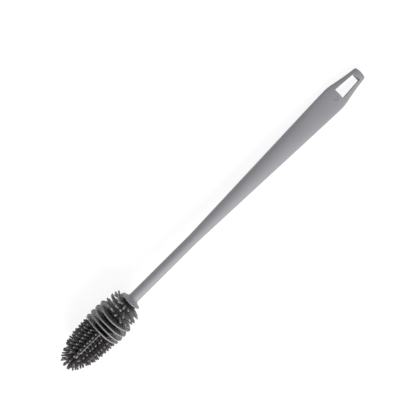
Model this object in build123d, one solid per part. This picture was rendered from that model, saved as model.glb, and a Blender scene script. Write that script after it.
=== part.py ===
from build123d import *

import math
import os

# A long bottle brush: a moulded polypropylene handle with a soft silicone head on its end.
#
# The brush is first drawn on its own axis, X. X = 0 is the face of the handle's flange that the
# head butts against, the hanging loop is at +X and the bristle tips are at -X, and the loop's
# broad faces look along +Z and -Z. It is then laid down as it comes to rest: on the lowest of the
# head's soft fins, which its weight presses a little flat, and on the end of the loop. What it
# lies on is at Z = 0. All sizes are in millimetres.

# ---- Handle: shank, grip and loop ----
shank_diameter = 8.35
shank_length = 67.5  # from the flange to where the grip starts to widen
grip_length = 154.5  # from there to the shoulder
grip_width = 20.05  # at the shoulder, where the grip's sides would meet the loop's
grip_thickness = 10.2
grip_thickest = 0.62  # the thickest place, as a share of the way from shank to shoulder
shoulder_rounding = 0.8  # how far the shoulder's corner is rounded away
loop_length = 26.3  # from the shoulder to the end
loop_end_width = 10.8
loop_waist = 0.9  # how far the loop's sides curve in from straight, both together
loop_thickness = 6.2
end_edge_radius = 1.4
oval_spacing = 4.0  # between the ovals that shape the grip and the loop

# ---- Handle: hanging hole and gate mark ----
hole_end_bar = 4.5  # from the hole to the end of the handle
hole_length = 19.2
hole_narrow_width = 6.6
hole_wide_width = 9.4
gate_mark_diameter = 3.8
gate_mark_depth = 0.35
gate_mark_gap = 2.2  # from the rim of the mark to the hole

# ---- Handle: flange and the spigot inside the head ----
flange_diameter = 17.2
flange_rim = 0.9
flange_rim_rounding = 0.225  # how far the rim's two edges are rounded in from its full diameter
flange_flare = 3.2  # from the head's face of the flange to where its flare meets the shank
flare_bend_along = 0.3  # a point on the hollow flare, as a share of the way from rim to shank
flare_bend_out = 0.45  # how far out that point lies, as a share of the way from shank to rim
spigot_diameter = 7.0
spigot_length = 56.0
barb_diameter = 8.8
barb_length = 2.4
barb_pitch = 12.0
barb_count = 3
spigot_clearance = 0.05

# ---- Head: core, fins and ribs ----
core_diameter = 13.0
core_length = 63.2
nose_length = 18.0  # the part of the core that tapers to the round nose
fin_diameters = (31.6, 32.2, 32.4, 32.3)
first_fin = 16.3  # from the flange to the middle of the first fin
fin_pitch = 4.65
fin_thickness = 1.1
fin_root_radius = 0.8
rib_width = 1.15
rib_height = 2.6
rib_length = 27.0  # from the last fin towards the nose
parting_ridge_width = 0.5
parting_ridge_height = 0.35
fin_give = 0.3  # how far the lowest fin is pressed flat where the brush lies on it

# ---- Head: bristles ----
bristle_root_diameter = 1.75
bristle_tip_diameter = 1.45
bristle_sunk = 0.8  # how deep a bristle's root lies in the core
columns = 16
tuft_first_ring = 3.9
tuft_ring_pitch = 4.5
tuft_bristle_lengths = (7.2, 7.7, 8.1)
body_first_ring = 32.6
body_ring_pitch = 3.05
body_bristle_lengths = (9.1, 9.0, 8.9, 8.75, 8.6, 8.45, 8.15, 7.85)
# Rings on the nose: angle round the nose from its start, bristles in the ring, bristle length.
nose_rings = (
    (33.0, 16, 7.3),
    (49.0, 16, 7.2),
    (63.0, 12, 7.5),
    (75.0, 8, 7.9),
    (84.5, 4, 7.8),
)

# ---- Sizes that follow ----
core_radius = core_diameter / 2
grip_start = shank_length
shoulder = grip_start + grip_length
handle_end = shoulder + loop_length
hole_end = handle_end - hole_end_bar
hole_start = hole_end - hole_length
fin_places = [first_fin + fin_pitch * i for i in range(len(fin_diameters))]
head_reach = max(fin_diameters)  # more than anything on the head stands out from the axis
same_place = 0.01  # corners nearer than this to a fin's root are that root


def handle_width(x):
    """Width of the handle at x: two side lines, the loop's curved in, with a rounded shoulder."""
    widening = (grip_width - shank_diameter) / grip_length
    grip_side = shank_diameter + widening * (x - grip_start)
    along = (handle_end - x) / loop_length
    loop_side = loop_end_width + (grip_width - loop_end_width) * along
    loop_side -= 4 * loop_waist * along * (1 - along)
    gap = grip_side - loop_side
    return (grip_side + loop_side - math.sqrt(gap**2 + (2 * shoulder_rounding) ** 2)) / 2


def handle_thickness(x):
    """Thickness of the handle at x: swelling from the shank into the grip, thinning into the loop."""
    peak = grip_start + grip_thickest * grip_length
    if x < peak:
        share = (x - grip_start) / (peak - grip_start)
        low = shank_diameter
    else:
        share = min((hole_start - x) / (hole_start - peak), 1.0)
        share = max(share, 0.0)
        low = loop_thickness
    return low + (grip_thickness - low) * share**2 * (3 - 2 * share)


def section(x, width, thickness):
    """An oval face square to the brush's axis."""
    return Plane((x, 0, 0), x_dir=(0, 1, 0), z_dir=(1, 0, 0)) * Ellipse(width / 2, thickness / 2)


def grip_and_loop():
    """The oval body from the shank to the end, lofted through evenly spaced ovals."""
    steps = math.ceil((handle_end - grip_start) / oval_spacing)
    ovals = [section(grip_start, shank_diameter, shank_diameter)]
    for i in range(1, steps + 1):
        x = grip_start + (handle_end - grip_start) * i / steps
        ovals.append(section(x, handle_width(x), handle_thickness(x)))
    body = loft(ovals)
    end_edges = body.faces().sort_by(Axis.X)[-1].edges()
    return fillet(end_edges, end_edge_radius)


def hanging_hole():
    """The wedge-shaped hole through the loop, wide side towards the grip."""
    outline = Polyline(
        (hole_start, -hole_wide_width / 2),
        (hole_end, -hole_narrow_width / 2),
        (hole_end, hole_narrow_width / 2),
        (hole_start, hole_wide_width / 2),
        close=True,
    )
    return extrude(make_face(outline), loop_thickness, both=True)


def gate_mark():
    """The shallow round recess left where the plastic entered the mould, on the upper face."""
    radius = gate_mark_diameter / 2
    x = hole_start - gate_mark_gap - radius
    floor = handle_thickness(x) / 2 - gate_mark_depth
    return Pos(x, 0, floor) * extrude(Circle(radius), grip_thickness)


def flange_and_shank():
    """The round shank with its flared flange, turned about the axis."""
    shank_radius = shank_diameter / 2
    rim_radius = flange_diameter / 2
    rim_edge = rim_radius - flange_rim_rounding
    flare_top = (flange_flare, shank_radius)
    flare_bend = (
        flange_rim + (flange_flare - flange_rim) * flare_bend_along,
        shank_radius + (rim_radius - shank_radius) * flare_bend_out,
    )
    lines = [
        Polyline((0, 0), (0, rim_edge)),
        ThreePointArc((0, rim_edge), (flange_rim / 2, rim_radius), (flange_rim, rim_edge)),
        ThreePointArc((flange_rim, rim_edge), flare_bend, flare_top),
        Polyline(flare_top, (grip_start, shank_radius), (grip_start, 0), (0, 0)),
    ]
    return revolve(make_face(lines), Axis.X)


def spigot(extra):
    """The barbed pin inside the head, along -X, with its radii and end made larger by extra."""
    pin_radius = spigot_diameter / 2 + extra
    barb_radius = barb_diameter / 2 + extra
    straight = spigot_length - spigot_diameter / 2
    pin = Polyline((0, 0), (0, pin_radius), (-straight, pin_radius))
    end = ThreePointArc(
        (-straight, pin_radius),
        (-straight - pin_radius * math.sin(math.pi / 4), pin_radius * math.cos(math.pi / 4)),
        (-straight - pin_radius, 0),
    )
    back = Polyline((-straight - pin_radius, 0), (0, 0))
    profile = make_face([pin, end, back])
    for i in range(barb_count):
        x = -barb_pitch * (i + 1) + barb_length / 2
        barb = Polyline(
            (x + extra, 0),
            (x + extra, barb_radius),
            (x - barb_length - extra, pin_radius),
            (x - barb_length - extra, 0),
            close=True,
        )
        profile += make_face(barb)
    return revolve(profile, Axis.X)


def make_handle():
    """The whole handle, one moulding."""
    body = flange_and_shank() + grip_and_loop() + spigot(0)
    return body - hanging_hole() - gate_mark()


def core_outline(extra):
    """Half of the core's lengthwise section, along -X, standing proud by extra."""
    nose_start = -(core_length - nose_length)
    radius = core_radius + extra
    nose = nose_length + extra
    side = Polyline((0, 0), (0, radius), (nose_start, radius))
    nose_curve = EllipticalCenterArc((nose_start, 0), nose, radius, 90, arc_size=90)
    back = Polyline((nose_start - nose, 0), (0, 0))
    return make_face([side, nose_curve, back])


def core_with_fins():
    """The core and its thin round fins, turned about the axis as one."""
    profile = core_outline(0)
    roots = []
    for place, diameter in zip(fin_places, fin_diameters):
        fin_height = diameter / 2
        rim = fin_thickness / 2
        fin = Pos(-place, (fin_height - rim) / 2) * Rectangle(fin_thickness, fin_height - rim)
        profile += fin + Pos(-place, fin_height - rim) * Circle(rim)
        roots += [-place - rim, -place + rim]
    corners = [
        corner
        for corner in profile.vertices()
        if abs(corner.Y - core_radius) < same_place
        and min(abs(corner.X - root) for root in roots) < same_place
    ]
    return revolve(fillet(corners, fin_root_radius), Axis.X)


def proud_strip(height, width, start, end):
    """A strip standing proud of the core, above and below, from start to end along -X."""
    blank = revolve(core_outline(height), Axis.X)
    slab = Pos(-(start + end) / 2, 0, 0) * Box(end - start, width, 2 * head_reach)
    return blank & slab


def parting_ribs():
    """The two scraper ribs where the mould halves met, and the low ridge over the nose."""
    last_fin = fin_places[-1]
    ribs = proud_strip(rib_height, rib_width, last_fin, last_fin + rib_length)
    ridge = proud_strip(
        parting_ridge_height, parting_ridge_width, last_fin, core_length + parting_ridge_height
    )
    return [ribs, ridge]


def bristle(length):
    """One bristle standing on Z = 0 along +Z, tapered, with a round tip and a sunken root."""
    root = bristle_root_diameter / 2
    tip = bristle_tip_diameter / 2
    side = Polyline((0, 0, -bristle_sunk), (root, 0, -bristle_sunk), (tip, 0, length - tip))
    cap = ThreePointArc(
        (tip, 0, length - tip),
        (tip * math.sin(math.pi / 4), 0, length - tip + tip * math.cos(math.pi / 4)),
        (0, 0, length),
    )
    back = Polyline((0, 0, length), (0, 0, -bristle_sunk))
    return revolve(make_face([side, cap, back]), Axis.Z)


def bristle_ring(place, radius, lean, count, length):
    """A ring of bristles rooted at a radius, leaning towards the nose, none on the parting plane."""
    one = bristle(length)
    ring = []
    for i in range(count):
        turn = Rot((i + 0.5) * 360 / count, 0, 0)
        ring.append(turn * Pos(-place, 0, radius) * Rot(0, -lean, 0) * one)
    return ring


def nose_radius(place):
    """The core's radius at a distance from the flange, and how far its surface leans there."""
    along = max(place - (core_length - nose_length), 0)
    share = along / nose_length
    radius = core_radius * math.sqrt(1 - share**2)
    lean = math.degrees(math.atan2(share / nose_length, radius / core_radius**2))
    return radius, lean


def all_bristles():
    """Every bristle: the tuft above the fins, the rings below them and the rings on the nose."""
    found = []
    for i, length in enumerate(tuft_bristle_lengths):
        found += bristle_ring(tuft_first_ring + tuft_ring_pitch * i, core_radius, 0, columns, length)
    for i, length in enumerate(body_bristle_lengths):
        place = body_first_ring + body_ring_pitch * i
        radius, lean = nose_radius(place)
        found += bristle_ring(place, radius, lean, columns, length)
    for angle, count, length in nose_rings:
        place = core_length - nose_length + nose_length * math.sin(math.radians(angle))
        radius, lean = nose_radius(place)
        found += bristle_ring(place, radius, lean, count, length)
    return found


def make_head():
    """The whole head, one moulding with a bore that fits the spigot."""
    solid = core_with_fins().fuse(*parting_ribs(), *all_bristles())
    return solid - spigot(spigot_clearance)


def rest_tilt():
    """How far the axis leans when the brush lies on its lowest fin and on the end of the loop."""
    end_drop = handle_thickness(handle_end) / 2
    slopes = [
        (diameter / 2 - fin_give - end_drop) / (handle_end - end_edge_radius + place)
        for place, diameter in zip(fin_places, fin_diameters)
    ]
    return math.degrees(math.atan(max(slopes)))


def lay_down(handle, head):
    """Lays the two parts to rest: fins pressed flat, the middle of their box over the origin."""
    turn = Rot(0, rest_tilt(), 0)
    handle = turn * handle
    head = turn * head
    surface = handle.bounding_box().min.Z
    under = Pos(0, 0, surface - head_reach / 2) * Box(2 * handle_end, 2 * head_reach, head_reach)
    head = head - under
    box = Compound(children=[Compound([handle, head])]).bounding_box()
    shift = Pos(-box.center().X, -box.center().Y, -surface)
    return shift * handle, shift * head


if __name__ == "__main__":
    handle, head = lay_down(make_handle(), make_head())
    os.makedirs("parts", exist_ok=True)
    export_step(handle, "parts/handle.step")
    export_step(head, "parts/brush_head.step")
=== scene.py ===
import logging
import math
from dataclasses import dataclass
from enum import Enum
from typing import Any, NamedTuple, Optional

import bpy
import numpy as np
from mathutils import Matrix, Vector


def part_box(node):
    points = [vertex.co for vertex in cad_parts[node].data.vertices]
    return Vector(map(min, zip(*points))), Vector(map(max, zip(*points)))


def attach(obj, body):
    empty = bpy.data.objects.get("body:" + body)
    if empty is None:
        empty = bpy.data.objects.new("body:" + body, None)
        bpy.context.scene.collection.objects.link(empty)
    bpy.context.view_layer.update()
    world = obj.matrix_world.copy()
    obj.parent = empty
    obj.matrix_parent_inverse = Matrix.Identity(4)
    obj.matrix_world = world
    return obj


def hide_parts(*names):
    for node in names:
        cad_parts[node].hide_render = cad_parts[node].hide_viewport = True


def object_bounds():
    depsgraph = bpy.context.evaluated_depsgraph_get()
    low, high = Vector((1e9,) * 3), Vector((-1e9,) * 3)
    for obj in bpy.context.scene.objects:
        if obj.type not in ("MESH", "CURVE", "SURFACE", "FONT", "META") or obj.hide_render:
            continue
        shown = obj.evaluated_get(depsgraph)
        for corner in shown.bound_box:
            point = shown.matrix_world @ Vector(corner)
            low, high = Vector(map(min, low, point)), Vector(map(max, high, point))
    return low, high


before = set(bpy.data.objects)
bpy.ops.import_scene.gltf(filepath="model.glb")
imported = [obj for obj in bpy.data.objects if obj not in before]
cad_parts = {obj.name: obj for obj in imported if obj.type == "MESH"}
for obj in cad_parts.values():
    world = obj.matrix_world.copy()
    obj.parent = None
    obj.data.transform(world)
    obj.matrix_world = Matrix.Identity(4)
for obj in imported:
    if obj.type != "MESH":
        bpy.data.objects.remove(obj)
CAD_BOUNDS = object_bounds()

LOG = logging.getLogger("bottle_brush")
MM = 0.001  # Blender's metres in one millimetre


# ---- Colours and nodes ----


def linear(colour: str) -> tuple[float, float, float, float]:
    """Turns an sRGB hex colour into the linear colour that shaders use.

    Args:
        colour: The colour as "#RRGGBB".

    Returns:
        Linear red, green and blue, and an alpha of 1.
    """
    channels = [int(colour[i : i + 2], 16) / 255 for i in (1, 3, 5)]
    straight = [c / 12.92 if c <= 0.04045 else ((c + 0.055) / 1.055) ** 2.4 for c in channels]
    return (*straight, 1.0)


def add_node(
    tree: bpy.types.NodeTree, kind: str, inputs: Optional[dict[Any, Any]] = None, **settings: Any
) -> bpy.types.Node:
    """Adds a node with its settings, its input values and the links into it.

    Args:
        tree: The node tree to add to.
        kind: The node's type name.
        inputs: For each input's name or number, a value or the socket that feeds it.
        **settings: The node's own properties.

    Returns:
        The new node.
    """
    node = tree.nodes.new(kind)
    for name, value in settings.items():
        setattr(node, name, value)
    for key, value in (inputs or {}).items():
        if isinstance(value, bpy.types.NodeSocket):
            tree.links.new(value, node.inputs[key])
        else:
            node.inputs[key].default_value = value
    return node


def new_material(name: str) -> tuple[bpy.types.Material, bpy.types.NodeTree]:
    """Makes a material with an empty node tree.

    Args:
        name: The material's name.

    Returns:
        The material and its tree.
    """
    material = bpy.data.materials.new(name)
    material.use_nodes = True
    material.node_tree.nodes.clear()
    return material, material.node_tree


# ---- Finishes ----


@dataclass(frozen=True)
class MouldedPolypropylene:
    """Injection-moulded grey polypropylene from a lightly blasted mould.

    The blasted mould leaves an even satin surface: broad soft highlights, no sharp reflection, and
    a very fine grain. The resin flows in from the gate, which leaves a faint cloudiness.
    """

    name: str = "grey_moulded_polypropylene"
    colour: str = "#9C9CA1"
    cloud_colour: str = "#96969B"
    ior: float = 1.49
    roughness: float = 0.52
    grain_mm: float = 0.55  # real blasting grain is under 0.1 mm: drawn coarser, so that it shows
    grain_depth_mm: float = 0.012
    grain_strength: float = 0.5
    grain_detail: float = 2.0
    grain_mix: float = 0.6
    cloud_mm: float = 14.0
    cloud_detail: float = 3.0
    cloud_mix: float = 0.55

    def build(self) -> bpy.types.Material:
        """Makes the material.

        Returns:
            The finished material.
        """
        material, tree = new_material(self.name)
        place = add_node(tree, "ShaderNodeTexCoord").outputs["Object"]
        cloud = add_node(
            tree,
            "ShaderNodeTexNoise",
            {
                "Vector": place,
                "Scale": 1 / (self.cloud_mm * MM),
                "Detail": self.cloud_detail,
                "Roughness": self.cloud_mix,
            },
        )
        colour = add_node(
            tree,
            "ShaderNodeMix",
            {
                "Factor": cloud.outputs["Fac"],
                "A": linear(self.colour),
                "B": linear(self.cloud_colour),
            },
            data_type="RGBA",
        )
        grain = add_node(
            tree,
            "ShaderNodeTexNoise",
            {
                "Vector": place,
                "Scale": 1 / (self.grain_mm * MM),
                "Detail": self.grain_detail,
                "Roughness": self.grain_mix,
            },
        )
        bump = add_node(
            tree,
            "ShaderNodeBump",
            {
                "Height": grain.outputs["Fac"],
                "Strength": self.grain_strength,
                "Distance": self.grain_depth_mm * MM,
            },
        )
        surface = add_node(
            tree,
            "ShaderNodeBsdfPrincipled",
            {
                "Base Color": colour.outputs["Result"],
                "Roughness": self.roughness,
                "IOR": self.ior,
                "Normal": bump.outputs["Normal"],
            },
        )
        add_node(tree, "ShaderNodeOutputMaterial", {"Surface": surface.outputs["BSDF"]})
        return material


class ShadeZone(Enum):
    """The parts of the head, each with its own copy of the dark silicone's colour, with painted
    shade or painted light for where it sits.
    """

    CORE = 0  # nearly black: the dark silicone, with painted shade where it lies deep among fins and bristles
    WEB = 1  # a fin's thin side: painted shade near the core, painted light towards its edge
    RIM = 2  # a fin's edge: pale, painted light where the edge catches it
    BRISTLE = 3  # painted shade at the root, painted light at the tip
    TUFT = 4  # the bristles above the fins, painted lighter for the extra light that reaches between them
    RIB = 5  # a thin upright strip: the palest, painted light that also fills in the bristles' shadows on it


@dataclass(frozen=True)
class SmokySilicone:
    """Moulded silicone rubber tinted smoky grey, slightly see-through, with a soft sheen.

    Its colour holds painted shade and painted light: nearly black at the core, where shade falls
    deep among the fins and bristles, and pale at an edge or a tip, where light gathers. A thin web
    also lets the surface behind it show.
    """

    depth: ShadeZone
    core_shade_colour: str  # at the core: painted shade
    side_colour: str  # along a bristle or across a fin: between the painted shade and the painted light
    edge_light_colour: str  # at a bristle's tip or a fin's edge: painted light
    clear: float = 0.0  # share of the light that goes straight through each face
    side_from: float = 0.4  # how far out the side's colour starts, 0 at the core and 1 at the edge
    side_to: float = 0.86  # how far out it ends
    ior: float = 1.42
    roughness: float = 0.42
    speckle_mm: float = 1.1  # the dust and flow marks on a soft moulding, drawn a little coarse
    speckle_depth_mm: float = 0.03
    speckle_strength: float = 0.5
    speckle_detail: float = 3.0
    speckle_mix: float = 0.6
    mottle: float = 0.25  # how much those marks lighten and darken it

    def build(self) -> bpy.types.Material:
        """Makes the material.

        Returns:
            The finished material.
        """
        material, tree = new_material(f"smoky_silicone_{self.depth.name.lower()}")
        place = add_node(tree, "ShaderNodeTexCoord").outputs["Object"]
        reach = add_node(tree, "ShaderNodeAttribute", attribute_name=MeshDraft.REACH)
        speckle = add_node(
            tree,
            "ShaderNodeTexNoise",
            {
                "Vector": place,
                "Scale": 1 / (self.speckle_mm * MM),
                "Detail": self.speckle_detail,
                "Roughness": self.speckle_mix,
            },
        )
        # painted shade and light: dark at the core, pale at tips and edges, by how far out each
        # point is
        shade_ramp = add_node(tree, "ShaderNodeValToRGB", {"Fac": reach.outputs["Fac"]})
        stops = shade_ramp.color_ramp.elements
        stops[0].color = linear(self.core_shade_colour)
        stops[1].color = linear(self.edge_light_colour)
        for position in (self.side_from, self.side_to):
            stops.new(position).color = linear(self.side_colour)
        clouded = add_node(
            tree,
            "ShaderNodeMapRange",
            {
                "Value": speckle.outputs["Fac"],
                "To Min": 1 - self.mottle,
                "To Max": 1 + self.mottle,
            },
        )
        colour = add_node(
            tree,
            "ShaderNodeVectorMath",
            {0: shade_ramp.outputs["Color"], "Scale": clouded.outputs["Result"]},
            operation="SCALE",
        )
        bump = add_node(
            tree,
            "ShaderNodeBump",
            {
                "Height": speckle.outputs["Fac"],
                "Strength": self.speckle_strength,
                "Distance": self.speckle_depth_mm * MM,
            },
        )
        shader = add_node(
            tree,
            "ShaderNodeBsdfPrincipled",
            {
                "Base Color": colour.outputs["Vector"],
                "Roughness": self.roughness,
                "IOR": self.ior,
                "Normal": bump.outputs["Normal"],
            },
        ).outputs["BSDF"]
        if self.clear:
            through = add_node(tree, "ShaderNodeBsdfTransparent")
            shader = add_node(
                tree,
                "ShaderNodeMixShader",
                {0: self.clear, 1: shader, 2: through.outputs["BSDF"]},
            ).outputs["Shader"]
        add_node(tree, "ShaderNodeOutputMaterial", {"Surface": shader})
        return material


# Lit and shaded copies of one smoky silicone: painted shade towards the core, painted light
# towards edges and tips
SILICONE = (
    SmokySilicone(ShadeZone.CORE, "#2E2C2E", "#343234", "#3A383A"),
    SmokySilicone(
        ShadeZone.WEB,
        "#2A282A",
        "#5A585A",
        "#858385",
        clear=0.3,
        side_from=0.35,
        side_to=0.7,
        mottle=0.08,
    ),
    SmokySilicone(ShadeZone.RIM, "#7C7A7C", "#8C8A8C", "#989698", mottle=0.06),
    SmokySilicone(ShadeZone.BRISTLE, "#343133", "#5E5B5D", "#8E8C8E", side_from=0.55, side_to=0.9),
    SmokySilicone(ShadeZone.TUFT, "#423F41", "#8A8789", "#9E9C9E", side_from=0.28),
    SmokySilicone(ShadeZone.RIB, "#8E8C8E", "#A2A0A2", "#AEACAE", mottle=0.06),
)


# ---- Where the brush lies ----


@dataclass(frozen=True)
class BrushAxis:
    """The brush's own axis at rest.

    On the axis, x = 0 is the face of the flange that the head butts against, x grows towards the
    loop, and the loop's broad face looks along z. Its sizes are in millimetres.
    """

    start: Vector  # x = 0, in the row frame, in metres
    lean: float  # how far the axis drops towards the loop, in radians

    def place(self, points: np.ndarray) -> np.ndarray:
        """Takes points from the axis into the row frame.

        Args:
            points: Points on the brush's own axes, in millimetres, one a row.

        Returns:
            The same points in the row frame, in metres.
        """
        return points @ np.array(self.turn()).T * MM + np.array(self.start)

    def turn(self) -> Matrix:
        """The turn from the brush's own axes to the row frame's."""
        return Matrix.Rotation(self.lean, 3, "Y")


def spin_round_axis(points: np.ndarray, turn: float) -> np.ndarray:
    """Turns points round the brush's own axis.

    Args:
        points: The points, with x, y and z last.
        turn: How far, in radians.

    Returns:
        The turned points.
    """
    cos, sin = math.cos(turn), math.sin(turn)
    return points @ np.array([[1, 0, 0], [0, cos, sin], [0, -sin, cos]]).T


# ---- Meshes ----


class MeshDraft:
    """Surfaces swept through rings of points, gathered into one mesh."""

    REACH = "reach"  # how far out a point is, 0 at the core and 1 at a tip or an edge; it sets the painted shade and light

    def __init__(self) -> None:
        """Starts with no surface."""
        self.points: list[np.ndarray] = []
        self.reach: list[np.ndarray] = []
        self.faces: list[tuple[int, ...]] = []
        self.shade_zones: list[int] = []
        self.count = 0

    def _add_points(self, points: np.ndarray, reach: np.ndarray) -> int:
        """Adds points.

        Args:
            points: The points, one a row.
            reach: How far out each of them is.

        Returns:
            The number of the first of them.
        """
        first = self.count
        self.points.append(points)
        self.reach.append(reach)
        self.count += len(points)
        return first

    def sweep(
        self,
        rings: np.ndarray,
        poles: tuple[np.ndarray, np.ndarray],
        reach: np.ndarray,
        shade_zones: list[ShadeZone],
    ) -> None:
        """Adds a closed surface through rings of points, with a pole at each end.

        Args:
            rings: Rings of points, as rings x points in a ring x 3, right-handed along the sweep.
            poles: The point that closes the first ring and the one that closes the last.
            reach: How far out each ring is.
            shade_zones: Which lit or shaded copy of the silicone each band between two rings gets.
        """
        number, around = rings.shape[:2]
        first = self._add_points(rings.reshape(-1, 3), np.repeat(reach, around))
        ends = self._add_points(np.array(poles), np.array([reach[0], reach[-1]]))
        last = first + (number - 1) * around
        for j in range(around):
            k = (j + 1) % around
            self.faces.append((ends, first + k, first + j))
            self.shade_zones.append(shade_zones[0].value)
            self.faces.append((ends + 1, last + j, last + k))
            self.shade_zones.append(shade_zones[-1].value)
            for i in range(number - 1):
                a = first + i * around
                self.faces.append((a + j, a + k, a + around + k, a + around + j))
                self.shade_zones.append(shade_zones[i].value)

    def build(
        self,
        name: str,
        axis: BrushAxis,
        inside: tuple[Vector, Vector],
        materials: list[bpy.types.Material],
    ) -> bpy.types.Object:
        """Makes the mesh object, laid at rest and kept inside a box.

        Args:
            name: The object's name.
            axis: Where the brush lies.
            inside: The box's lowest and highest corners, in metres.
            materials: The materials, one for each lit or shaded copy of the silicone, in the order
                of Depth.

        Returns:
            The new object, linked to the scene.
        """
        points = axis.place(np.concatenate(self.points))
        points = np.clip(points, np.array(inside[0]), np.array(inside[1]))
        mesh = bpy.data.meshes.new(name)
        mesh.from_pydata(points.tolist(), [], self.faces)
        for material in materials:
            mesh.materials.append(material)
        mesh.polygons.foreach_set("material_index", self.shade_zones)
        mesh.polygons.foreach_set("use_smooth", [True] * len(self.faces))
        layer = mesh.attributes.new(self.REACH, "FLOAT", "POINT")
        layer.data.foreach_set("value", np.concatenate(self.reach).astype(np.float32))
        mesh.validate()
        mesh.update()
        piece = bpy.data.objects.new(name, mesh)
        bpy.context.scene.collection.objects.link(piece)
        return piece


# ---- The silicone head ----


class ProfilePoint(NamedTuple):
    """A corner of the head's lengthwise section."""

    place: float  # from the flange's face towards the tip
    radius: float
    fin: int  # the fin it is on, or NO_FIN
    depth: ShadeZone  # the lit or shaded copy of the silicone from here to the next corner


NO_FIN = -1
SHORT_OF_TIP = 0.999  # of the core's length: the two ridges end there, so they don't cross


@dataclass
class SiliconeHead:
    """The soft head: core, fins, bristles, and the ribs where the mould's halves met.

    Sizes are in millimetres. A place is a distance from the flange's face towards the tip.
    """

    core_diameter: float = 13.0
    core_length: float = 63.2
    nose_length: float = 18.0
    fin_diameters: tuple[float, ...] = (31.6, 32.2, 32.4, 32.3)
    first_fin: float = 16.3
    fin_pitch: float = 4.65
    fin_thickness: float = 1.1
    fin_root_radius: float = 0.8
    fin_leans: tuple[float, ...] = (0.9, 1.2, 0.15, -1.1)  # of the upper edge, towards the tip
    fin_wave: float = 0.3
    fin_wave_counts: tuple[int, ...] = (2, 3, 5)  # waves round a fin
    fin_wave_divisors: tuple[float, ...] = (1.0, 1.6, 2.4)  # finer waves are smaller
    fin_wave_least: float = 0.5  # share of its full size that a wave has at least
    fin_bend: float = 1.5  # how a fin's lean grows outwards, as a power
    rib_width: float = 1.15
    rib_height: float = 2.6
    rib_length: float = 27.0
    ridge_width: float = 0.5
    ridge_height: float = 0.35
    bristle_root_diameter: float = 1.75
    bristle_tip_diameter: float = 1.45
    bristle_sunk: float = 0.8
    root_flare: float = 1.35  # how much wider a bristle is at the core's surface
    root_flare_mid: float = 1.12  # and part of the way up the flare
    root_flare_mid_height: float = 0.25
    root_flare_height: float = 0.7
    columns: int = 16
    tuft_first_ring: float = 3.9
    tuft_ring_pitch: float = 4.5
    tuft_lengths: tuple[float, ...] = (7.2, 7.7, 8.1)
    body_first_ring: float = 32.6
    body_ring_pitch: float = 3.05
    body_lengths: tuple[float, ...] = (9.1, 9.0, 8.9, 8.75, 8.6, 8.45, 8.15, 7.85)
    nose_rings: tuple[tuple[float, int, float], ...] = (
        (33.0, 16, 7.3),
        (49.0, 16, 7.2),
        (63.0, 12, 7.5),
        (75.0, 8, 7.9),
        (84.5, 4, 7.8),
    )  # angle round the nose in degrees, bristles, their length
    bore_diameter: float = 7.1
    bore_length: float = 56.05
    barb_diameter: float = 8.9
    barb_length: float = 2.4
    barb_pitch: float = 12.0
    barb_count: int = 3
    tuft_droop: float = 1.5  # how far a tuft bristle's tip wanders
    tuft_sweep: float = 1.1  # the tuft's set: to the flange on one side, to the fins on the other
    body_droop: float = 0.55  # how far any other bristle's tip wanders
    twist: float = math.radians(-2.7)  # of the head on its spigot
    seed: int = 41
    lathe_steps: int = 144
    bristle_sides: int = 12
    bristle_bands: int = 4
    bristle_tip_steps: int = 3
    bore_end_steps: int = 5
    fin_side_bands: int = 6
    fin_curve_steps: int = 4
    nose_steps: int = 14
    strip_rings: int = 30
    strip_arch_points: int = 9
    strip_sunk: float = 1.0  # how deep a strip's foot lies in the core
    flange_diameter: float = 17.2
    flange_rim: float = 0.9

    def fin_places(self) -> list[float]:
        """Where each fin's middle is."""
        return [self.first_fin + self.fin_pitch * i for i in range(len(self.fin_diameters))]

    def axis(
        self, head_box: tuple[Vector, Vector], handle_box: tuple[Vector, Vector]
    ) -> BrushAxis:
        """Finds the brush's axis from how high the last fin and the flange reach.

        Args:
            head_box: The head's lowest and highest corners, in metres.
            handle_box: The handle's.

        Returns:
            The axis of the brush at rest.
        """
        last_fin, last_place = self.fin_diameters[-1] / 2, self.fin_places()[-1]
        flange, flange_place = self.flange_diameter / 2, -self.flange_rim / 2
        rise = (head_box[1].z - handle_box[1].z) / MM
        lean = math.asin((rise - (last_fin - flange)) / (last_place - flange_place))
        height = head_box[1].z / MM - last_place * math.sin(lean) - last_fin * math.cos(lean)
        along = head_box[1].x / MM - math.sin(lean) * self.core_diameter / 2
        return BrushAxis(Vector((along, 0, height)) * MM, lean)

    def surface(self, place: float) -> tuple[float, float]:
        """The core's surface at a place.

        Args:
            place: How far along the core.

        Returns:
            The core's radius there, and how far its surface leans towards the tip, in radians.
        """
        radius = self.core_diameter / 2
        along = max(place - (self.core_length - self.nose_length), 0.0)
        share = along / self.nose_length
        here = radius * math.sqrt(max(1 - share**2, 0.0))
        return here, math.atan2(share / self.nose_length, here / radius**2)

    def bore_profile(self) -> list[ProfilePoint]:
        """The barbed bore, from its closed end to the flange's face.

        Returns:
            The bore's corners.
        """
        pin, barb = self.bore_diameter / 2, self.barb_diameter / 2
        corners = []
        for step in range(1, self.bore_end_steps + 1):
            turn = math.pi / 2 * step / self.bore_end_steps
            place = self.bore_length - pin + pin * math.cos(turn)
            corners.append(ProfilePoint(place, pin * math.sin(turn), NO_FIN, ShadeZone.CORE))
        for i in reversed(range(self.barb_count)):
            place = self.barb_pitch * (i + 1) - self.barb_length / 2
            corners.append(ProfilePoint(place + self.barb_length, pin, NO_FIN, ShadeZone.CORE))
            corners.append(ProfilePoint(place, barb, NO_FIN, ShadeZone.CORE))
            corners.append(ProfilePoint(place, pin, NO_FIN, ShadeZone.CORE))
        corners.append(ProfilePoint(0.0, pin, NO_FIN, ShadeZone.CORE))
        return corners

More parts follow.
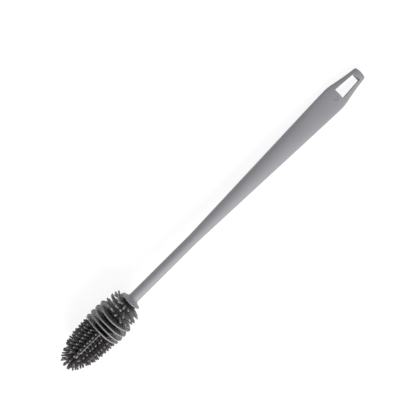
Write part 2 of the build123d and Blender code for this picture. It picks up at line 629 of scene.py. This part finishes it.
    def fin_profile(self, number: int) -> list[ProfilePoint]:
        """One fin: its root's curve, its side, its round edge, and back down.

        Args:
            number: Which fin, counted from the flange.

        Returns:
            The fin's corners.
        """
        place, top = self.fin_places()[number], self.fin_diameters[number] / 2
        half, root = self.fin_thickness / 2, self.fin_root_radius
        base = self.core_diameter / 2 + root
        climb, corners = [], []
        for step in range(self.fin_curve_steps + 1):
            turn = math.pi / 2 * step / self.fin_curve_steps
            radius = base - root * math.cos(turn)
            climb.append((half + root - root * math.sin(turn), radius, ShadeZone.CORE))
        for step in range(1, self.fin_side_bands + 1):
            radius = base + (top - half - base) * step / self.fin_side_bands
            climb.append((half, radius, ShadeZone.WEB))
        for step in range(1, self.fin_curve_steps):
            turn = math.pi / 2 * step / self.fin_curve_steps
            climb.append((half * math.cos(turn), top - half + half * math.sin(turn), ShadeZone.RIM))
        for out, radius, depth in climb:
            corners.append(ProfilePoint(place - out, radius, number, depth))
        corners.append(ProfilePoint(place, top, number, ShadeZone.RIM))
        for i in reversed(range(len(climb))):
            out, radius, depth = climb[i]
            after = climb[i - 1][2] if i else ShadeZone.CORE
            corners.append(ProfilePoint(place + out, radius, number, after))
        return corners

    def outer_profile(self) -> list[ProfilePoint]:
        """The outside of the core and fins, from the flange's face to near the tip.

        Returns:
            The outside's corners.
        """
        radius = self.core_diameter / 2
        corners = [ProfilePoint(0.0, radius, NO_FIN, ShadeZone.CORE)]
        for number in range(len(self.fin_diameters)):
            corners += self.fin_profile(number)
        start = self.core_length - self.nose_length
        for step in range(self.nose_steps):
            turn = math.pi / 2 * step / self.nose_steps
            place = start + self.nose_length * math.sin(turn)
            corners.append(ProfilePoint(place, radius * math.cos(turn), NO_FIN, ShadeZone.CORE))
        return corners

    def add_core(self, draft: MeshDraft, chance: np.random.Generator) -> None:
        """Turns the bore, the core and the fins as one surface.

        Args:
            draft: The mesh to add to.
            chance: Where the fins' waves come from.
        """
        corners = self.bore_profile() + self.outer_profile()
        turns = np.linspace(0, 2 * math.pi, self.lathe_steps, endpoint=False)
        core = self.core_diameter / 2
        waves = []
        for lean in self.fin_leans:
            number = len(self.fin_wave_counts)
            phases = chance.uniform(0, 2 * math.pi, number)
            sizes = self.fin_wave * chance.uniform(self.fin_wave_least, 1.0, number)
            sizes /= np.array(self.fin_wave_divisors)
            wave = sum(
                size * np.cos(count * turns + phase)
                for count, size, phase in zip(self.fin_wave_counts, sizes, phases)
            )
            waves.append(lean * np.cos(turns) + wave)
        rings = []
        reach = []
        for corner in corners:
            place = np.full_like(turns, corner.place)
            out = 0.0
            if corner.fin != NO_FIN:
                top = self.fin_diameters[corner.fin] / 2
                out = max((corner.radius - core) / (top - core), 0.0)
                place = place + waves[corner.fin] * out**self.fin_bend
            across = corner.radius * np.sin(turns)
            above = corner.radius * np.cos(turns)
            rings.append(np.stack([-place, across, above], axis=1))
            reach.append(out)
        poles = (np.array([-self.bore_length, 0, 0]), np.array([-self.core_length, 0, 0]))
        draft.sweep(np.array(rings), poles, np.array(reach), [c.depth for c in corners])

    def add_bristle(
        self,
        draft: MeshDraft,
        place: float,
        turn: float,
        length: float,
        droop: np.ndarray,
        depth: ShadeZone,
    ) -> None:
        """Adds one bristle: flared at its root, tapered, with a round tip.

        Args:
            draft: The mesh to add to.
            place: Where along the core it stands.
            turn: Where round the core, from the top, in radians.
            length: How long it is.
            droop: How far its tip wanders, towards the tip of the brush and round the core.
            depth: Which lit or shaded copy of the silicone it gets.
        """
        radius, lean = self.surface(place)
        out = np.array([0.0, math.sin(turn), math.cos(turn)])
        round_core = np.array([0.0, math.cos(turn), -math.sin(turn)])
        forward = np.array([-1.0, 0.0, 0.0])
        along = out * math.cos(lean) + forward * math.sin(lean)
        down = forward * math.cos(lean) - out * math.sin(lean)
        base = forward * place + out * radius
        root, tip = self.bristle_root_diameter / 2, self.bristle_tip_diameter / 2
        heights = [-self.bristle_sunk, 0.0, self.root_flare_mid_height, self.root_flare_height]
        shaft = np.linspace(self.root_flare_height, length - tip, self.bristle_bands + 1)
        heights += list(shaft[1:])
        radii = [root + (tip - root) * max(h, 0) / length for h in heights]
        radii[0] = radii[1] = root * self.root_flare
        radii[2] = root * self.root_flare_mid
        for step in range(1, self.bristle_tip_steps):
            bend = math.pi / 2 * step / self.bristle_tip_steps
            heights.append(length - tip + tip * math.sin(bend))
            radii.append(tip * math.cos(bend))
        swing = down * droop[0] + round_core * droop[1]
        angles = np.linspace(0, 2 * math.pi, self.bristle_sides, endpoint=False)
        rings = []
        for height, size in zip(heights, radii):
            share = max(height, 0.0) / length
            centre = base + along * height + swing * share**2
            tangent = along + swing * 2 * share / length
            tangent /= np.linalg.norm(tangent)
            side = np.cross(tangent, round_core)
            side /= np.linalg.norm(side)
            other = np.cross(tangent, side)
            rings.append(
                centre + size * (np.outer(np.cos(angles), side) + np.outer(np.sin(angles), other))
            )
        start = base - along * self.bristle_sunk
        end = base + along * length + swing
        reach = np.clip(np.array(heights) / length, 0, 1)
        draft.sweep(np.array(rings), (start, end), reach, [depth] * len(rings))

    def add_bristles(self, draft: MeshDraft, chance: np.random.Generator) -> None:
        """Adds the tuft above the fins, the rings below them and the rings on the nose.

        Args:
            draft: The mesh to add to.
            chance: Where each bristle's droop comes from.
        """
        rings = []
        for i, length in enumerate(self.tuft_lengths):
            place = self.tuft_first_ring + self.tuft_ring_pitch * i
            rings.append((place, self.columns, length, self.tuft_droop, ShadeZone.TUFT))
        for i, length in enumerate(self.body_lengths):
            place = self.body_first_ring + self.body_ring_pitch * i
            rings.append((place, self.columns, length, self.body_droop, ShadeZone.BRISTLE))
        nose_start = self.core_length - self.nose_length
        for angle, count, length in self.nose_rings:
            place = nose_start + self.nose_length * math.sin(math.radians(angle))
            rings.append((place, count, length, self.body_droop, ShadeZone.BRISTLE))
        for place, count, length, droop, depth in rings:
            for i in range(count):
                turn = (i + 0.5) * 2 * math.pi / count
                swing = droop * chance.uniform(-1, 1, 2)
                if depth is ShadeZone.TUFT:
                    swing[0] -= self.tuft_sweep * math.sin(turn)
                self.add_bristle(draft, place, turn, length, swing, depth)

    def add_strip(
        self, draft: MeshDraft, width: float, height: float, end: float, turn: float, depth: ShadeZone
    ) -> None:
        """Adds a raised strip along the core from the last fin, with a round top.

        Args:
            draft: The mesh to add to.
            width: The strip's width.
            height: How far it stands up.
            end: Where it ends.
            turn: Where round the core, from the top, in radians.
            depth: Which lit or shaded copy of the silicone it gets.
        """
        start = self.fin_places()[-1]
        places = np.linspace(start, end, self.strip_rings)
        arch = np.linspace(math.pi, 0, self.strip_arch_points)
        half = width / 2
        outline = [(-half, -self.strip_sunk)] + [
            (half * math.cos(a), height - half + half * math.sin(a)) for a in arch
        ]
        outline.append((half, -self.strip_sunk))
        rings = []
        for place in places:
            radius, lean = self.surface(min(place, self.core_length * SHORT_OF_TIP))
            out = np.array([-math.sin(lean), 0.0, math.cos(lean)])
            base = np.array([-place, 0.0, radius])
            ring = [base + out * up + np.array([0.0, side, 0.0]) for side, up in outline]
            rings.append(ring)
        rings = spin_round_axis(np.array(rings), turn)
        poles = (rings[0].mean(axis=0), rings[-1].mean(axis=0))
        reach = np.full(len(rings), 1.0)
        draft.sweep(rings, poles, reach, [depth] * len(rings))

    def build(
        self, axis: BrushAxis, inside: tuple[Vector, Vector], finishes: tuple[SmokySilicone, ...]
    ) -> bpy.types.Object:
        """Builds and dresses the head.

        Args:
            axis: Where the brush lies.
            inside: The box that the head keeps to, in metres.
            finishes: The lit and shaded copies of the silicone, in the order of Depth.

        Returns:
            The head.
        """
        chance = np.random.default_rng(self.seed)
        draft = MeshDraft()
        self.add_core(draft, chance)
        self.add_bristles(draft, chance)
        for turn in (0.0, math.pi):
            rib_end = self.fin_places()[-1] + self.rib_length
            self.add_strip(draft, self.rib_width, self.rib_height, rib_end, turn, ShadeZone.RIB)
            self.add_strip(
                draft, self.ridge_width, self.ridge_height, self.core_length, turn, ShadeZone.CORE
            )
        draft.points = [spin_round_axis(points, self.twist) for points in draft.points]
        materials = [finish.build() for finish in finishes]
        head = draft.build("silicone_head", axis, inside, materials)
        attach(head, "root")
        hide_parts("brush_head")
        return head


# ---- The studio ----


@dataclass
class Studio:
    """The floor, the light and the camera."""

    floor_reach: float = 6.0  # metres, half the floor's width
    floor_points: int = 13  # along each side
    floor_drop: float = 0.00002  # metres, so that floor and brush don't share a surface
    floor_colour: str = "#E8E8E8"  # in the light that the floor throws back on the brush
    seen_colour: str = "#868686"  # to the eye, together with the glow
    floor_glow: float = 0.86
    fibre_mm: float = 10 / 9  # a real fibre is under 0.1 mm thick: drawn coarser, so that it shows
    fibre_strength: float = 0.2
    fibre_depth_mm: float = 0.02
    sky_low: float = 0.656  # the surround's light near the floor
    sky_high: float = 0.4  # and overhead
    key_power: float = 10.5  # watts
    key_size: tuple[float, float] = (0.7, 0.55)  # metres
    key_distance: float = 1.1  # metres
    key_elevation: float = math.radians(35)
    key_azimuth: float = math.radians(35)  # from straight beside the brush towards its head
    along: float = 92.5  # millimetres from the flange's face to what the camera looks at
    across: float = 17.4  # millimetres beside the brush's axis, on the side away from the lamp
    height: float = 436.0  # millimetres above the brush's axis
    roll: float = math.radians(5.7)  # round the brush's axis, away from straight above
    axis_turn: float = math.radians(44.85)  # of the brush's axis, as the camera sees it
    lens: float = 51.2  # millimetres
    sensor: float = 36.0  # millimetres

    def build_floor(self) -> bpy.types.Object:
        """Builds the pale floor that the brush lies on.

        Returns:
            The floor.
        """
        steps = np.linspace(-self.floor_reach, self.floor_reach, self.floor_points)
        points = [(x, y, -self.floor_drop) for y in steps for x in steps]
        row = len(steps)
        faces = [
            (j * row + i, j * row + i + 1, (j + 1) * row + i + 1, (j + 1) * row + i)
            for j in range(row - 1)
            for i in range(row - 1)
        ]
        mesh = bpy.data.meshes.new("studio_floor")
        mesh.from_pydata(points, [], faces)
        mesh.materials.append(self.floor_material())
        floor = bpy.data.objects.new("studio_floor", mesh)
        bpy.context.scene.collection.objects.link(floor)
        return floor

    def seen_directly(self, tree: bpy.types.NodeTree) -> bpy.types.NodeSocket:
        """1 for rays from the camera, a gloss or a clear piece, and 0 for light on the object.

        Args:
            tree: The tree to add the nodes to.

        Returns:
            The socket that holds it.
        """
        path = add_node(tree, "ShaderNodeLightPath")
        found = path.outputs["Is Camera Ray"]
        for name in ("Is Glossy Ray", "Is Transmission Ray"):
            found = add_node(
                tree, "ShaderNodeMath", {0: found, 1: path.outputs[name]}, operation="MAXIMUM"
            ).outputs["Value"]
        return found

    def floor_material(self) -> bpy.types.Material:
        """Matt white studio paper, as pale to the eye as the surround.

        Returns:
            The paper's material.
        """
        material, tree = new_material("white_studio_paper")
        place = add_node(tree, "ShaderNodeTexCoord").outputs["Object"]
        fibre = add_node(
            tree, "ShaderNodeTexNoise", {"Vector": place, "Scale": 1 / (self.fibre_mm * MM)}
        )
        bump = add_node(
            tree,
            "ShaderNodeBump",
            {
                "Height": fibre.outputs["Fac"],
                "Strength": self.fibre_strength,
                "Distance": self.fibre_depth_mm * MM,
            },
        )
        seen = self.seen_directly(tree)
        colour = add_node(
            tree,
            "ShaderNodeMix",
            {"Factor": seen, "A": linear(self.floor_colour), "B": linear(self.seen_colour)},
            data_type="RGBA",
        )
        paper = add_node(
            tree,
            "ShaderNodeBsdfDiffuse",
            {"Color": colour.outputs["Result"], "Normal": bump.outputs["Normal"]},
        )
        glow = add_node(
            tree, "ShaderNodeMath", {0: seen, 1: self.floor_glow}, operation="MULTIPLY"
        )
        shine = add_node(tree, "ShaderNodeEmission", {"Strength": glow.outputs["Value"]})
        both = add_node(
            tree,
            "ShaderNodeAddShader",
            {0: paper.outputs["BSDF"], 1: shine.outputs["Emission"]},
        )
        add_node(tree, "ShaderNodeOutputMaterial", {"Surface": both.outputs["Shader"]})
        return material

    def build_sky(self) -> None:
        """A white surround: soft light that is stronger near the floor, and white to the eye."""
        world = bpy.data.worlds.new("white_surround")
        bpy.context.scene.world = world
        world.use_nodes = True
        tree = world.node_tree
        tree.nodes.clear()
        place = add_node(tree, "ShaderNodeTexCoord").outputs["Generated"]
        up = add_node(tree, "ShaderNodeSeparateXYZ", {"Vector": place}).outputs["Z"]
        light = add_node(
            tree,
            "ShaderNodeMapRange",
            {"Value": up, "To Min": self.sky_low, "To Max": self.sky_high},
        ).outputs["Result"]
        strength = add_node(
            tree,
            "ShaderNodeMix",
            {"Factor": self.seen_directly(tree), "A": light, "B": 1.0},
            data_type="FLOAT",
        ).outputs["Result"]
        sky = add_node(
            tree, "ShaderNodeBackground", {"Color": linear("#FFFFFF"), "Strength": strength}
        )
        add_node(tree, "ShaderNodeOutputWorld", {"Surface": sky.outputs["Background"]})

    def build_key(self, target: Vector) -> bpy.types.Object:
        """Hangs one large softbox to the side of the brush.

        Args:
            target: What it points at.

        Returns:
            The lamp.
        """
        data = bpy.data.lights.new("softbox", "AREA")
        data.shape = "RECTANGLE"
        data.size, data.size_y = self.key_size
        data.energy = self.key_power
        lamp = bpy.data.objects.new("softbox", data)
        level = math.cos(self.key_elevation)
        towards = Vector(
            (
                -level * math.sin(self.key_azimuth),
                -level * math.cos(self.key_azimuth),
                math.sin(self.key_elevation),
            )
        )
        lamp.location = target + towards * self.key_distance
        lamp.rotation_euler = towards.to_track_quat("Z", "Y").to_euler()
        bpy.context.scene.collection.objects.link(lamp)
        return lamp

    def build_camera(self, axis: BrushAxis) -> bpy.types.Object:
        """Hangs the camera above the brush, looking square at its axis.

        Args:
            axis: Where the brush lies.

        Returns:
            The camera.
        """
        turn = axis.turn()
        back = turn @ Vector((0, math.sin(self.roll), math.cos(self.roll)))
        sideways = turn @ Vector((0, math.cos(self.roll), -math.sin(self.roll)))
        forward = turn @ Vector((1, 0, 0))
        cos, sin = math.cos(self.axis_turn), math.sin(self.axis_turn)
        right = forward * cos - sideways * sin
        up = forward * sin + sideways * cos
        spot = forward * self.along + sideways * self.across + back * self.height
        data = bpy.data.cameras.new("camera")
        data.lens = self.lens
        data.sensor_width = self.sensor
        camera = bpy.data.objects.new("camera", data)
        pose = Matrix((right, up, back)).transposed().to_4x4()
        pose.translation = axis.start + spot * MM
        camera.matrix_world = pose
        bpy.context.scene.collection.objects.link(camera)
        bpy.context.scene.camera = camera
        return camera

    def build(self, axis: BrushAxis) -> list[bpy.types.Object]:
        """Builds the floor, the light and the camera.

        Args:
            axis: Where the brush lies.

        Returns:
            What was built.
        """
        low, high = CAD_BOUNDS
        middle = (Vector(low) + Vector(high)) / 2
        self.build_sky()
        bpy.context.scene.view_settings.view_transform = "Standard"
        return [self.build_floor(), self.build_key(middle), self.build_camera(axis)]


# ---- The whole brush ----


def dress_handle(finish: MouldedPolypropylene) -> bpy.types.Object:
    """Gives the CAD handle its finish.

    Args:
        finish: The handle's plastic.

    Returns:
        The handle.
    """
    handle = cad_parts["handle"]
    handle.data.materials.clear()
    handle.data.materials.append(finish.build())
    return handle


def main() -> None:
    """Builds the brush and the studio, and reports each piece."""
    logging.basicConfig(level=logging.INFO, format="%(name)s: %(message)s")
    head = SiliconeHead()
    axis = head.axis(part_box("brush_head"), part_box("handle"))
    LOG.info("axis starts at %s and leans %.3f degrees", axis.start, math.degrees(axis.lean))
    handle = dress_handle(MouldedPolypropylene())
    LOG.info("handle: %d faces", len(handle.data.polygons))
    piece = head.build(axis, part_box("brush_head"), SILICONE)
    LOG.info("head: %d faces", len(piece.data.polygons))
    for thing in Studio().build(axis):
        LOG.info("studio: %s", thing.name)


if __name__ == "__main__":
    main()
